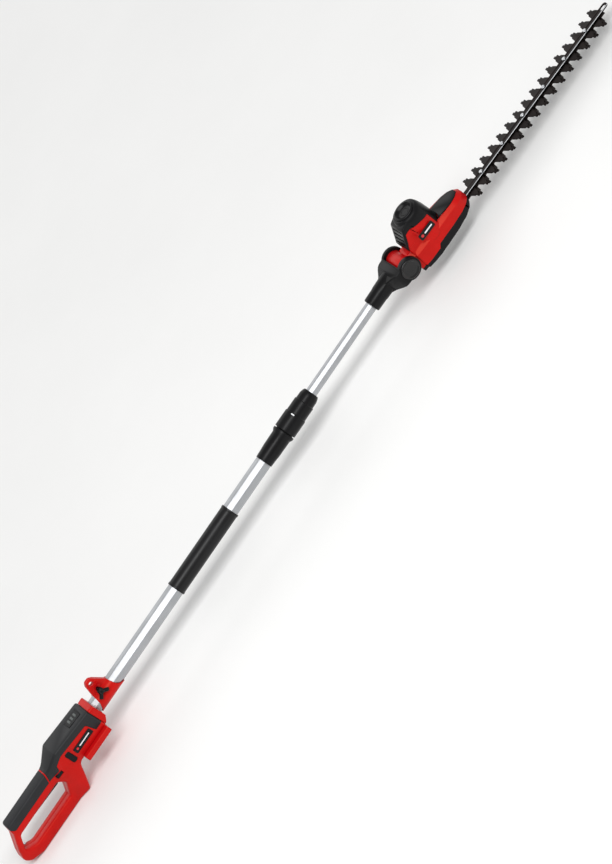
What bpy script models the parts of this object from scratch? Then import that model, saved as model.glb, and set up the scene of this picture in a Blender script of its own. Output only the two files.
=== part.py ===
"""Telescopic pole hedge trimmer, modelled in metres with +Z up.

The pole lies along X, with the cutter at +X and the loop handle at -X. Lengths along the machine are
"stations": millimetres from the rear end of the handle. Heights on the pole are measured from the
pole's axis. The cutter head has its own frame, with its origin on the knuckle's pivot.
"""

import math

import bmesh
import bpy
from mathutils import Matrix, Vector

MM = 0.001
TOTAL_LENGTH = 1860.5
POLE_AXIS_HEIGHT = 80.2
GAP = 0.3

# Handle
GRIP_HALF_WIDTH = 14.5
HOUSING_HALF_WIDTH = 26.0
HANDLE_ROUNDING = 4.5
HOUSING_FRONT = 287.0
SPLIT_Z = -3.0
TRIGGER_PIVOT = (153.0, -13.0)
SHELL_SCREWS = [(24, -52), (100, -69), (176, -60), (232, -20)]
DOCK_HALF_WIDTH = 38.0

# Pole, as widths across the flats of the octagonal tubes
LOWER_TUBE_WIDTH = 28.7
UPPER_TUBE_WIDTH = 20.5
TUBE_WALL = 1.5
LOWER_TUBE_ENDS = (215.0, 891.0)
UPPER_TUBE_ENDS = (423.0, 1222.0)
POLE_GRIP_ENDS = (556.0, 728.0)
STRAP_STATION = 331.0
STRAP_BOLT_HEIGHT = 21.0

# Knuckle
PIVOT_STATION = 1265.0
PIVOT_Z = -1.6
CHEEK_RADIUS = 23.0
CHEEK_INNER = 26.3
CHEEK_OUTER = 35.0
BARREL_RADIUS = 17.2
AXLE_RADIUS = 6.0
HEAD_PITCH = math.radians(2.07)

# Cutter head, in its own frame
MOTOR_X = 76.0
HEAD_NOSE = 168.0
HEAD_HALF_WIDTH = 31.0
HEAD_DECK = 8.0
SEAM_Z = -21.5
PINION_TEETH = 10
GEAR_TEETH = 42
GEAR_MODULE = 1.0
GEAR_X = MOTOR_X + GEAR_MODULE * (PINION_TEETH + GEAR_TEETH) / 2 + 0.3
ECCENTRICITY = 5.0
ECCENTRIC_RADIUS = 8.0

# Cutter bar, in the head's frame
BAR_TOP = -21.8
BAR_THICKNESS = 2.5
BAR_HALF_WIDTH = 6.7
BAR_TIP = 595.7
BLADE_THICKNESS = 2.0
BLADE_SPACING = 0.15
BLADE_HALF_WIDTH = 8.0
TOOTH_REACH = 34.0
TOOTH_PITCH = 25.08
TOOTH_COUNT = 16
FIRST_TOOTH = 185.5
BLADE_REST_SHIFT = 2.4
BLADE_STROKE = 5.0
SCREW_COUNT = 6
FIRST_SCREW = 218.1
SCREW_PITCH = 62.8


def station(value):
    """Turn a station into an X coordinate, both in millimetres."""
    return value - TOTAL_LENGTH / 2


def clear_scene():
    for item in list(bpy.data.objects):
        bpy.data.objects.remove(item, do_unlink=True)


def new_collection(name):
    collection = bpy.data.collections.new(name)
    bpy.context.scene.collection.children.link(collection)
    return collection


clear_scene()
PARTS = new_collection("pole_hedge_trimmer")
CUTTERS = new_collection("cutters")


def principled(name, colour, roughness, metallic=0.0):
    material = bpy.data.materials.new(name)
    material.use_nodes = True
    shader = material.node_tree.nodes["Principled BSDF"]
    shader.inputs["Base Color"].default_value = (*colour, 1.0)
    shader.inputs["Roughness"].default_value = roughness
    shader.inputs["Metallic"].default_value = metallic
    return material


RED = principled("red_plastic", (0.58, 0.02, 0.02), 0.35)
BLACK = principled("black_plastic", (0.02, 0.02, 0.022), 0.5)
SOFT_GREY = principled("soft_grip", (0.05, 0.05, 0.055), 0.75)
ALUMINIUM = principled("anodised_aluminium", (0.72, 0.72, 0.74), 0.35, 0.9)
STEEL = principled("bright_steel", (0.62, 0.62, 0.64), 0.3, 1.0)
BLADE_STEEL = principled("blackened_blade_steel", (0.06, 0.06, 0.06), 0.4, 0.8)
BOARD_GREEN = principled("circuit_board", (0.02, 0.16, 0.06), 0.5)
LEAD_BLACK = principled("lead_sheath", (0.03, 0.03, 0.03), 0.6)
LABEL_BLACK = principled("label_film", (0.015, 0.015, 0.015), 0.25)


# ---------------------------------------------------------------- outlines, in millimetres


def rounded(corners, steps=3):
    """Make an outline from (u, v, radius) corners, with an arc at each corner that has a radius."""
    points = []
    for index, (u, v, radius) in enumerate(corners):
        here = Vector((u, v))
        if radius == 0:
            points.append((u, v))
            continue
        before = (Vector(corners[index - 1][:2]) - here).normalized()
        after = (Vector(corners[(index + 1) % len(corners)][:2]) - here).normalized()
        half = before.angle(after) / 2
        centre = here + (before + after).normalized() * radius / math.sin(half)
        start = here + before * radius / math.tan(half) - centre
        end = here + after * radius / math.tan(half) - centre
        first = math.atan2(start.y, start.x)
        turn = (math.atan2(end.y, end.x) - first + math.pi) % (2 * math.pi) - math.pi
        for step in range(steps + 1):
            angle = first + turn * step / steps
            points.append((centre.x + radius * math.cos(angle), centre.y + radius * math.sin(angle)))
    return points


def circle(u, v, radius, sides=24):
    return [
        (u + radius * math.cos(2 * math.pi * k / sides), v + radius * math.sin(2 * math.pi * k / sides))
        for k in range(sides)
    ]


def octagon(width):
    """An octagon with flats above, below and at the sides, of the given width across the flats."""
    radius = width / 2 / math.cos(math.pi / 8)
    return [
        (radius * math.cos(angle), radius * math.sin(angle))
        for angle in (math.pi / 8 + k * math.pi / 4 for k in range(8))
    ]


def rectangle(low_u, high_u, low_v, high_v, radius=0):
    corners = [(low_u, low_v), (high_u, low_v), (high_u, high_v), (low_u, high_v)]
    return rounded([(u, v, radius) for u, v in corners])


def both_sides(half_outline):
    """Mirror (u, v) points with v >= 0 to the other side of v = 0."""
    return half_outline + [(u, -v) for u, v in reversed(half_outline)]


def along(corners):
    """Turn the stations of an outline's points or corners into X coordinates."""
    return [(station(corner[0]), *corner[1:]) for corner in corners]


# ---------------------------------------------------------------- shape builders


def add_object(name, mesh, finish=None, parent=None):
    """Link an object: a part when it has a finish, else a cutter."""
    item = bpy.data.objects.new(name, mesh)
    if finish is None:
        CUTTERS.objects.link(item)
        item.hide_render = True
        item.display_type = "WIRE"
    else:
        PARTS.objects.link(item)
        mesh.materials.clear()
        mesh.materials.append(finish)
    item.parent = parent
    return item


def evaluated_mesh(item, flatten=False):
    """Read an object's shape as its modifiers or its curve make it, with its seams welded."""
    graph = bpy.context.evaluated_depsgraph_get()
    mesh = bpy.data.meshes.new_from_object(item.evaluated_get(graph))
    cage = bmesh.new()
    cage.from_mesh(mesh)
    bmesh.ops.remove_doubles(cage, verts=cage.verts, dist=0.00001)
    if flatten:
        bmesh.ops.dissolve_limit(
            cage, angle_limit=math.radians(0.5), verts=cage.verts, edges=cage.edges
        )
    bmesh.ops.recalc_face_normals(cage, faces=cage.faces)
    cage.to_mesh(mesh)
    cage.free()
    return mesh


PLANES = {
    "plan": Matrix(((1, 0, 0, 0), (0, 1, 0, 0), (0, 0, 1, 0), (0, 0, 0, 1))),
    "side": Matrix(((1, 0, 0, 0), (0, 0, 1, 0), (0, 1, 0, 0), (0, 0, 0, 1))),
    "front": Matrix(((0, 0, 1, 0), (1, 0, 0, 0), (0, 1, 0, 0), (0, 0, 0, 1))),
}


def prism_mesh(loops, low, high, plane):
    """Extrude flat outlines: plan is (x, y) over z, side is (x, z) over y, front is (y, z) over x."""
    curve = bpy.data.curves.new("outline", "CURVE")
    curve.dimensions = "2D"
    curve.fill_mode = "BOTH"
    curve.extrude = (high - low) / 2 * MM
    for loop in loops:
        spline = curve.splines.new("POLY")
        spline.points.add(len(loop) - 1)
        for point, (u, v) in zip(spline.points, loop):
            point.co = (u * MM, v * MM, 0, 1)
        spline.use_cyclic_u = True
    holder = bpy.data.objects.new("outline", curve)
    bpy.context.scene.collection.objects.link(holder)
    mesh = evaluated_mesh(holder, flatten=True)
    bpy.data.objects.remove(holder)
    mesh.transform(PLANES[plane] @ Matrix.Translation((0, 0, (low + high) / 2 * MM)))
    if plane == "side":
        mesh.flip_normals()
    return mesh


def prism(name, loops, low, high, plane, finish=None, parent=None):
    return add_object(name, prism_mesh(loops, low, high, plane), finish, parent)


def block(name, size, centre, finish=None, parent=None):
    cage = bmesh.new()
    bmesh.ops.create_cube(cage, size=1)
    bmesh.ops.scale(cage, vec=Vector(size) * MM, verts=cage.verts)
    mesh = bpy.data.meshes.new(name)
    cage.to_mesh(mesh)
    cage.free()
    item = add_object(name, mesh, finish, parent)
    item.location = Vector(centre) * MM
    return item


AXIS_TURNS = {
    "X": Matrix.Rotation(math.pi / 2, 4, "Y"),
    "Y": Matrix.Rotation(-math.pi / 2, 4, "X"),
    "Z": Matrix.Identity(4),
}


def rod(name, radius, low, high, axis, centre, finish=None, parent=None, sides=24):
    """A cylinder from low to high along an axis through centre."""
    cage = bmesh.new()
    bmesh.ops.create_cone(
        cage,
        cap_ends=True,
        segments=sides,
        radius1=radius * MM,
        radius2=radius * MM,
        depth=(high - low) * MM,
        matrix=AXIS_TURNS[axis] @ Matrix.Translation((0, 0, (low + high) / 2 * MM)),
    )
    mesh = bpy.data.meshes.new(name)
    cage.to_mesh(mesh)
    cage.free()
    item = add_object(name, mesh, finish, parent)
    item.location = Vector(centre) * MM
    return item


def turned(name, profile, axis, centre, finish=None, parent=None, sides=24):
    """Turn a closed profile of (radius, distance along the axis) points about an axis through centre."""
    outline = bpy.data.meshes.new(name)
    points = [(radius * MM, 0, height * MM) for radius, height in profile]
    edges = [(k, (k + 1) % len(points)) for k in range(len(points))]
    on_axis = [radius == 0 for radius, _ in profile]
    edges = [(a, b) for a, b in edges if not (on_axis[a] and on_axis[b])]
    outline.from_pydata(points, edges, [])
    holder = bpy.data.objects.new("profile", outline)
    bpy.context.scene.collection.objects.link(holder)
    screw = holder.modifiers.new("turn", "SCREW")
    screw.steps = sides
    screw.render_steps = sides
    screw.use_merge_vertices = True
    screw.merge_threshold = 0.00001
    mesh = evaluated_mesh(holder)
    bpy.data.objects.remove(holder)
    mesh.transform(AXIS_TURNS[axis])
    item = add_object(name, mesh, finish, parent)
    item.location = Vector(centre) * MM
    return item


def coil(name, radius, wire, turns, start, end, steps, finish, parent, axis="X"):
    """A helical wire along an axis, between two points on it."""
    curve = bpy.data.curves.new(name, "CURVE")
    curve.dimensions = "3D"
    curve.bevel_depth = wire * MM
    curve.bevel_resolution = 1
    curve.use_fill_caps = True
    spline = curve.splines.new("POLY")
    count = int(turns * steps)
    spline.points.add(count)
    length = (Vector(end) - Vector(start)).length
    for k, point in enumerate(spline.points):
        angle = 2 * math.pi * k / steps
        local = Vector((radius * math.cos(angle), radius * math.sin(angle), length * k / count))
        point.co = (*(AXIS_TURNS[axis] @ (local * MM)), 1)
    holder = bpy.data.objects.new("helix", curve)
    bpy.context.scene.collection.objects.link(holder)
    mesh = evaluated_mesh(holder)
    bpy.data.objects.remove(holder)
    item = add_object(name, mesh, finish, parent)
    item.location = Vector(start) * MM
    return item


def combine(target, other, operation):
    """Add a Boolean with another object, which ends up among the cutters."""
    modifier = target.modifiers.new(other.name, "BOOLEAN")
    modifier.operation = operation
    modifier.object = other
    other.parent = target.parent
    return target


def cut(target, *cutters):
    for cutter in cutters:
        combine(target, cutter, "DIFFERENCE")
    return target


def join(target, *others):
    for other in others:
        combine(target, other, "UNION")
    return target


def keep(target, region):
    return combine(target, region, "INTERSECT")


def soften(item, width, segments=2, angle=40):
    """Round every edge sharper than the angle."""
    bevel = item.modifiers.new("soften", "BEVEL")
    bevel.width = width * MM
    bevel.segments = segments
    bevel.limit_method = "ANGLE"
    bevel.angle_limit = math.radians(angle)
    bevel.use_clamp_overlap = False
    return item


def bake(item):
    """Apply an object's modifiers and return the mesh, after which the object is gone."""
    mesh = evaluated_mesh(item)
    bpy.data.objects.remove(item)
    return mesh


def set_origin(item, point):
    """Move an object's origin to a point of its parent's frame, leaving its shape where it is."""
    point = Vector(point) * MM
    item.data.transform(Matrix.Translation(item.location - point))
    item.location = point
    return item


def half_space(name, side, length=2000, height=400):
    """A cutter that removes everything but one side of y = 0, with half the seam's gap."""
    low, high = (-GAP / 2, 200) if side < 0 else (-200, GAP / 2)
    return block(name, (length, high - low, height), (0, (low + high) / 2, 0))


def empty(name, location, pitch=0.0, parent=None):
    item = bpy.data.objects.new(name, None)
    PARTS.objects.link(item)
    item.location = Vector(location) * MM
    item.rotation_euler = (0, pitch, 0)
    item.parent = parent
    return item


# ---------------------------------------------------------------- handle


HANDLE_OUTLINE = along(
    [
        (34, 15, 6),
        (158, 15, 25),
        (190, 30.5, 12),
        (HOUSING_FRONT, 24, 0),
        (HOUSING_FRONT, -24.5, 0),
        (283, -27, 0),
        (204, -27, 12),
        (175, -POLE_AXIS_HEIGHT, 9),
        (34, -POLE_AXIS_HEIGHT, 20),
        (8, -70, 12),
        (-0.8, -57, 12),
        (8, -38, 20),
        (29, -6, 12),
    ]
)
LOOP_OPENING = along(
    [(36, -18, 9), (151, -18, 8), (160, -32, 5), (143, -58, 4), (39, -58, 16), (17, -46, 6)]
)
HANDLE_PLAN = along(
    [(-20, GRIP_HALF_WIDTH), (150, GRIP_HALF_WIDTH), (192, HOUSING_HALF_WIDTH), (320, HOUSING_HALF_WIDTH)]
)


def housing_top(at):
    """Height of the housing's roof line at a station."""
    return 30.5 - 6.5 * (at - 190) / (HOUSING_FRONT - 190)


def handle_body_mesh():
    """The whole handle as one rounded solid, which the shells, grip and cover are divided from."""
    loops = [rounded(HANDLE_OUTLINE), rounded(LOOP_OPENING)]
    body = prism("handle_body", loops, -60, 60, "side")
    sides = prism("handle_plan", [both_sides(HANDLE_PLAN)], -200, 200, "plan")
    keep(body, sides)
    mesh = bake(body)
    bpy.data.objects.remove(sides)
    rounded_body = add_object("rounded_handle", mesh)
    soften(rounded_body, HANDLE_ROUNDING, segments=3, angle=60)
    return bake(rounded_body)


def grip_region(name, slack):
    """The grip's share of the handle. Slack moves its lower and front edges outwards."""
    corners = [
        (20, 40, 0),
        (33 - slack, 4, 0),
        (38 - slack, SPLIT_Z - slack, 5),
        (142 + slack, SPLIT_Z - slack, 0),
        (153 + slack, 25, 0),
        (153 + slack, 40, 0),
    ]
    return prism(name, [rounded(along(corners))], -60, 60, "side")


def cover_region(name, slack):
    """The black cover's share of the handle, with its step down at the front."""
    corners = [
        (169 - slack, 60, 0),
        (144.3 - slack, SPLIT_Z - slack, 0),
        (171 + slack, SPLIT_Z - slack, 3),
        (175 + slack, 8 - slack, 3),
        (193, 16.6 - slack, 12),
        (264 - slack, 10.7 - slack, 4),
        (269 - slack, -13.5 - slack, 2),
        (300, -13.5 - slack, 0),
        (300, 60, 0),
    ]
    return prism(name, [rounded(along(corners))], -60, 60, "side")


def housing_cavity(name):
    corners = [(184, -23), (300, -23), (300, 18), (197, 25), (184, 15)]
    return prism(name, [along(corners)], -22.5, 22.5, "side")


def grip_cavity(name):
    return prism(name, [rectangle(station(56), station(186), -13, 9)], -10, 10, "side")


def handle_shell(name, side, parent):
    trigger_slot = rectangle(station(56), station(158.5), -30, -12)
    pin_centre = (station(TRIGGER_PIVOT[0]), 0, TRIGGER_PIVOT[1])
    shell = add_object(name, handle_body_mesh(), RED, parent)
    cut(
        shell,
        half_space(name + "_other_half", side),
        grip_region(name + "_grip_seat", 0.0),
        cover_region(name + "_cover_seat", 0.0),
        housing_cavity(name + "_housing_cavity"),
        grip_cavity(name + "_grip_cavity"),
        prism(name + "_trigger_slot", [trigger_slot], -8.5, 8.5, "side"),
        rod(name + "_pin_hole", 1.8, -12.3, 12.3, "Y", pin_centre, sides=12),
    )
    return shell


def make_handle(pole):
    right = handle_shell("handle_shell_right", -1, pole)
    left = handle_shell("handle_shell_left", 1, pole)
    cap_pocket = rectangle(station(197.7), station(209.3), -16.3, 10.9, 4)
    cut(
        right,
        block("lock_off_hole", (16.1, 16, 8.1), (station(165.4), -16, -8.2)),
        prism("side_cap_pocket", [cap_pocket], -30, -24, "side"),
    )
    grip = add_object("grip_overmould", handle_body_mesh(), SOFT_GREY, pole)
    keep(grip, grip_region("grip_share", -GAP))
    cut(grip, grip_cavity("grip_hollow"))
    cover = add_object("housing_cover", handle_body_mesh(), BLACK, pole)
    keep(cover, cover_region("cover_share", -GAP))
    cut(cover, housing_cavity("cover_hollow"), grip_cavity("cover_neck_hollow"))
    panel_pocket = [
        (243.7, housing_top(243.7) - 1.8),
        (276.3, housing_top(276.3) - 1.8),
        (276.3, 40),
        (243.7, 40),
    ]
    cut(cover, prism("panel_pocket", [along(panel_pocket)], -12.3, 12.3, "side"))
    panel = [
        (244, housing_top(244) - 1.5),
        (276, housing_top(276) - 1.5),
        (276, housing_top(276) + 0.8),
        (244, housing_top(244) + 0.8),
    ]
    soften(prism("indicator_panel", [along(panel)], -12, 12, "side", BLACK, pole), 0.6, 1)
    collar_side = along(
        [
            (HOUSING_FRONT + GAP, 21.0),
            (298, 20.4),
            (300, 18.5),
            (300, -13),
            (291, -22.5),
            (HOUSING_FRONT + GAP, -24.3),
        ]
    )
    collar = prism("front_collar", [collar_side], -30, 30, "side", RED, pole)
    section = rectangle(-24.5, 24.5, -27, 21.0, 6)
    keep(collar, prism("collar_section", [section], station(280), station(310), "front"))
    bore = octagon(LOWER_TUBE_WIDTH + 2 * GAP)
    cut(collar, prism("collar_bore", [bore], station(280), station(310), "front"))
    cap_side = rectangle(station(198), station(209), -16, 10.6, 4)
    soften(prism("side_cap", [cap_side], -26.8, -24.3, "side", BLACK, pole), 0.5, 1)
    label = rectangle(station(215), station(264), -9.6, 3.4, 2)
    prism("label_plate_handle", [label], -27.0, -26.3, "side", LABEL_BLACK, pole)
    for number, (at, height) in enumerate(SHELL_SCREWS, start=1):
        face = 14.2 if at < TRIGGER_PIVOT[0] else 17
        centre = (station(at), 0, height)
        name = f"shell_screw_{number}"
        screw = rod(name, 2.6, face - 6, face + 0.4, "Y", centre, STEEL, pole, 16)
        cut(left, rod(f"screw_hole_{number}", 2.9, face - 6.3, 40, "Y", centre, sides=16))
        cut(screw, block(f"screw_slot_{number}", (3.4, 3, 0.9), (station(at), face + 0.9, height)))


def make_dock(pole):
    section = [
        (-DOCK_HALF_WIDTH, -34),
        (DOCK_HALF_WIDTH, -34),
        (DOCK_HALF_WIDTH, -22),
        (HOUSING_HALF_WIDTH + GAP, -22),
        (HOUSING_HALF_WIDTH + GAP, -27 - GAP),
        (-HOUSING_HALF_WIDTH - GAP, -27 - GAP),
        (-HOUSING_HALF_WIDTH - GAP, -22),
        (-DOCK_HALF_WIDTH, -22),
    ]
    dock = prism("battery_dock", [section], station(217), station(285), "front", RED, pole)
    cut(dock, block("battery_channel", (66, 48, 9), (station(255.5), 0, -34)))
    soften(dock, 1.2, 1)
    block("battery_terminals", (12, 26, 3.6), (station(230), 0, -31.6), BLACK, pole)


def make_controls(pole):
    pivot_x = station(TRIGGER_PIVOT[0])
    paddle = along(
        [
            (58, -8.5, 0),
            (58, -20, 2),
            (149, -24, 5),
            (157, -18, 2),
            (157, -9.5, 0),
            (150, -8.5, 0),
        ]
    )
    trigger = prism("trigger", [rounded(paddle, 2)], -8, 8, "side", BLACK, pole)
    cut(trigger, rod("trigger_eye", 1.8, -20, 20, "Y", (pivot_x, 0, TRIGGER_PIVOT[1]), sides=12))
    set_origin(trigger, (pivot_x, 0, TRIGGER_PIVOT[1]))
    soften(trigger, 1.2, 1)
    rod("trigger_pin", 1.5, -12, 12, "Y", (pivot_x, 0, TRIGGER_PIVOT[1]), STEEL, pole, 12)
    coil("trigger_spring", 3.5, 0.6, 4, (station(76), 0, -7.3), (station(76), 0, 7.9), 8, STEEL, pole, "Z")
    block("switch_module", (30, 15, 6.5), (station(130), 0, 5.2), BLACK, pole)
    button = block("lock_off_button", (15.5, 13, 7.5), (station(165.4), -13.6, -8.2), BLACK, pole)
    soften(button, 1.0, 1)
    block("control_board", (22, 1.6, 30), (station(201), 12, -2), BOARD_GREEN, pole)
    coil("lead_coil", 8, 1.5, 6, (station(296), 0, 0), (station(413), 0, 0), 10, LEAD_BLACK, pole)


# ---------------------------------------------------------------- pole


def octagon_tube(name, width, bore, ends, finish, pole):
    loops = [octagon(width), octagon(bore)]
    return prism(name, loops, station(ends[0]), station(ends[1]), "front", finish, pole)


def make_strap_clamp(pole):
    """Two half sleeves round the lower tube, drawn together by a bolt under the strap's eyelet."""
    skirt = along(
        [
            (302, -19, 1),
            (370, -19, 1),
            (370, -14, 1),
            (358, 0, 4),
            (354, 16, 6),
            (341.5, 40, 6),
            (336, 46.6, 6),
            (326, 46.6, 6),
            (320.5, 40, 6),
            (311, 4, 6),
            (302, -14, 1),
        ]
    )
    bore = octagon(LOWER_TUBE_WIDTH + 2 * GAP)
    bolt_centre = (station(STRAP_STATION), 0, STRAP_BOLT_HEIGHT)
    for side, word in ((-1, "right"), (1, "left")):
        name = f"strap_clamp_{word}"
        sleeve = [(0, 380), (17, 380), (17, 290), (0, 290)]
        half = turned(name, sleeve, "X", (station(0), 0, 0), RED, pole, 24)
        join(half, block(name + "_plate", (90, 9, 42), (station(STRAP_STATION), 0, 28)))
        keep(half, prism(name + "_skirt", [rounded(skirt)], -30, 30, "side"))
        cut(
            half,
            prism(name + "_bore", [bore], station(280), station(390), "front"),
            rod(name + "_eyelet", 4.7, -10, 10, "Y", (station(STRAP_STATION), 0, 37.2)),
            rod(name + "_bolt_hole", 2.4, -10, 10, "Y", bolt_centre, sides=16),
            half_space(name + "_other_half", side),
        )
    bolt = [(0, 8), (3.6, 8), (3.6, 4.8), (2, 4.8), (2, -15), (0, -15)]
    turned("strap_bolt", bolt, "Y", bolt_centre, STEEL, pole, 16)
    hub = [
        (0, -22.5),
        (5, -22.5),
        (6, -21),
        (6, -12),
        (3.8, -10),
        (3.8, -4.8),
        (2.4, -4.8),
        (2.4, -16),
        (0, -16),
    ]
    knob = turned("wing_knob", hub, "Y", bolt_centre, BLACK, pole, 20)
    for side in (-1, 1):
        wing = block(f"wing_{side}", (15, 4, 7), (0, 0, 0))
        wing.data.transform(Matrix.Translation((8 * side * MM, -20 * MM, 0)))
        wing.data.transform(Matrix.Rotation(side * math.radians(42), 4, "Y"))
        wing.location = Vector(bolt_centre) * MM
        join(knob, wing)


def make_pole(pole):
    tube_bore = LOWER_TUBE_WIDTH - 2 * TUBE_WALL
    octagon_tube("lower_tube", LOWER_TUBE_WIDTH, tube_bore, LOWER_TUBE_ENDS, ALUMINIUM, pole)
    upper_bore = UPPER_TUBE_WIDTH - 2 * TUBE_WALL
    octagon_tube("upper_tube", UPPER_TUBE_WIDTH, upper_bore, UPPER_TUBE_ENDS, ALUMINIUM, pole)
    octagon_tube("guide_bush", tube_bore - 2 * GAP, UPPER_TUBE_WIDTH + 2 * GAP, (424, 450), BLACK, pole)
    rod("lead_straight", 2.2, 430, 1218, "X", (station(0), 0, 0), LEAD_BLACK, pole, 8)
    rear, front = POLE_GRIP_ENDS
    sleeve = [
        (17.4, rear),
        (17.4, rear + 4),
        (16.7, rear + 5),
        (16.7, front - 5),
        (17.4, front - 4),
        (17.4, front),
        (0, front),
        (0, rear),
    ]
    grip = turned("pole_grip", sleeve, "X", (station(0), 0, 0), SOFT_GREY, pole, 32)
    bore = octagon(LOWER_TUBE_WIDTH + 2 * GAP)
    cut(grip, prism("pole_grip_bore", [bore], station(500), station(800), "front"))


def make_telescope_clamp(pole):
    """The twist clamp: a body on the lower tube, a split collet round the upper tube, and the nut."""
    origin = (station(0), 0, 0)
    outside = [
        (16.4, 833),
        (16.9, 845),
        (17.8, 858),
        (18.2, 888),
        (21, 893),
        (21, 897),
        (17, 897.5),
        (17, 932),
        (0, 932),
        (0, 833),
    ]
    body = turned("clamp_body", outside, "X", origin, BLACK, pole, 32)
    seat = octagon(LOWER_TUBE_WIDTH + 2 * GAP)
    bore = octagon(UPPER_TUBE_WIDTH + 2 * GAP)
    cut(
        body,
        prism("clamp_tube_seat", [seat], station(800), station(892), "front"),
        prism("clamp_body_bore", [bore], station(800), station(960), "front"),
    )
    cone = [(0, 933), (16.4, 937), (13.2, 970), (0, 970)]
    collet = turned("clamp_collet", cone, "X", origin, BLACK, pole, 32)
    cut(
        collet,
        prism("collet_bore", [bore], station(900), station(990), "front"),
        block("collet_split", (26, 1.6, 20), (station(965), 0, 12)),
    )
    shell = [
        (17.3, 899),
        (20.4, 899),
        (21, 900.5),
        (21, 932.5),
        (20.4, 934),
        (19.5, 934.5),
        (19.5, 960),
        (18, 961),
        (17.8, 973),
        (16, 980),
        (14, 983),
        (11.8, 983),
        (11.8, 973),
        (13.6, 971),
        (16.9, 936),
        (17.3, 935),
    ]
    nut = turned("clamp_nut", shell, "X", origin, BLACK, pole, 28)
    set_origin(nut, (station(941), 0, 0))


# ---------------------------------------------------------------- knuckle


def make_fork(pole):
    """The fork: a neck on the upper tube that opens into two round cheeks beside the pivot."""
    neck = [(0, -93), (14.6, -93), (16, -91), (16.4, -68), (17, -66), (17.4, -40), (17.4, -30), (0, -30)]
    pivot = (station(PIVOT_STATION), 0, PIVOT_Z)
    fork = turned("knuckle_fork", neck, "X", (pivot[0], 0, 0), BLACK, pole, 24)
    bore = octagon(UPPER_TUBE_WIDTH + 2 * GAP)
    yoke_side = rounded(
        [(-54, -11, 0), (-34, -16.5, 14), (-15, -17.3, 0), (-15, 17.3, 0), (-34, 16.5, 14), (-54, 11, 0)]
    )
    half_plan = [(-54, 11), (-44, 17.4), (-29, CHEEK_OUTER - 2), (-23.5, CHEEK_OUTER), (24, CHEEK_OUTER)]
    yoke = prism("yoke", [yoke_side], -40, 40, "side")
    yoke.location = Vector(pivot) * MM
    disc = rod("cheek_disc", CHEEK_RADIUS, -40, 40, "Y", pivot, sides=36)
    join(yoke, disc)
    plan = prism("yoke_plan", [both_sides(half_plan)], -40, 40, "plan")
    plan.location = Vector(pivot) * MM
    keep(yoke, plan)
    mesh = bake(yoke)
    bpy.data.objects.remove(disc)
    bpy.data.objects.remove(plan)
    yoke = add_object("yoke_body", mesh)
    yoke.location = Vector(pivot) * MM
    soften(yoke, 1.5, 1, 50)
    join(fork, yoke)
    # The web between the cheeks wraps round the barrel, and is open below for the tilted head.
    front_slot = prism("fork_slot", [rectangle(-12, 60, -CHEEK_INNER, CHEEK_INNER)], -60, 60, "plan")
    under_slot = prism("under_slot", [rectangle(-27, 60, -CHEEK_INNER, CHEEK_INNER)], -60, -13, "plan")
    for slot in (front_slot, under_slot):
        slot.location = Vector(pivot) * MM
    cut(
        fork,
        front_slot,
        under_slot,
        rod("barrel_way", BARREL_RADIUS + 0.8, -CHEEK_INNER, CHEEK_INNER, "Y", pivot, sides=40),
        prism("neck_bore", [bore], station(1100), station(1223), "front"),
        rod("lead_way", 4, 1200, 1260, "X", (station(0), 0, 0), sides=12),
        rod("axle_hole", AXLE_RADIUS + 0.25, -32, 32, "Y", pivot, sides=20),
    )
    for side, word in ((-1, "right"), (1, "left")):
        low, high = sorted((side * 29.0, side * 50))
        cut(fork, rod(f"button_recess_{word}", 19.9, low, high, "Y", pivot, sides=32))
        low, high = sorted((side * 16.0, side * 44))
        panel = rectangle(station(1199), station(1221), -9.0, 9.0, 1.5)
        cut(fork, prism(f"neck_panel_{word}", [panel], low, high, "side"))


def make_knuckle(pole):
    make_fork(pole)
    pivot = (station(PIVOT_STATION), 0, PIVOT_Z)
    rod("pivot_axle", AXLE_RADIUS, -28.7, 28.7, "Y", pivot, STEEL, pole, 20)
    for side, word in ((-1, "right"), (1, "left")):
        face = [
            (0, side * 36.0),
            (16.5, side * 36.0),
            (17.3, side * 36.6),
            (18.8, side * 36.6),
            (19.5, side * 35.8),
            (19.5, side * 33.0),
            (0, side * 33.0),
        ]
        turned(f"lock_button_{word}", face, "Y", pivot, BLACK, pole, 32)
        start = (pivot[0], side * 29.7, pivot[2]) if side > 0 else (pivot[0], -32.3, pivot[2])
        end = (pivot[0], start[1] + 2.6, pivot[2])
        coil(f"button_spring_{word}", 12, 0.5, 2, start, end, 12, STEEL, pole, "Y")


# ---------------------------------------------------------------- cutter head, in the head's frame


HEAD_PLAN = [
    (15, 25.4),
    (24.6, 25.4),
    (25.6, HEAD_HALF_WIDTH - 2),
    (40, HEAD_HALF_WIDTH),
    (110, HEAD_HALF_WIDTH - 1),
    (140, 27),
    (154, 22),
    (163, 15),
    (HEAD_NOSE, 6),
]
RED_EDGE = [(24, 13), (28.5, 22), (34, 29), (43, 44), (52, 45), (78, 41), (96, 35)]


def deck_height(at):
    """Height of the flat top deck, which falls towards the nose."""
    return HEAD_DECK - 7.0 * max(0.0, at - 96) / (HEAD_NOSE - 96)


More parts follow.
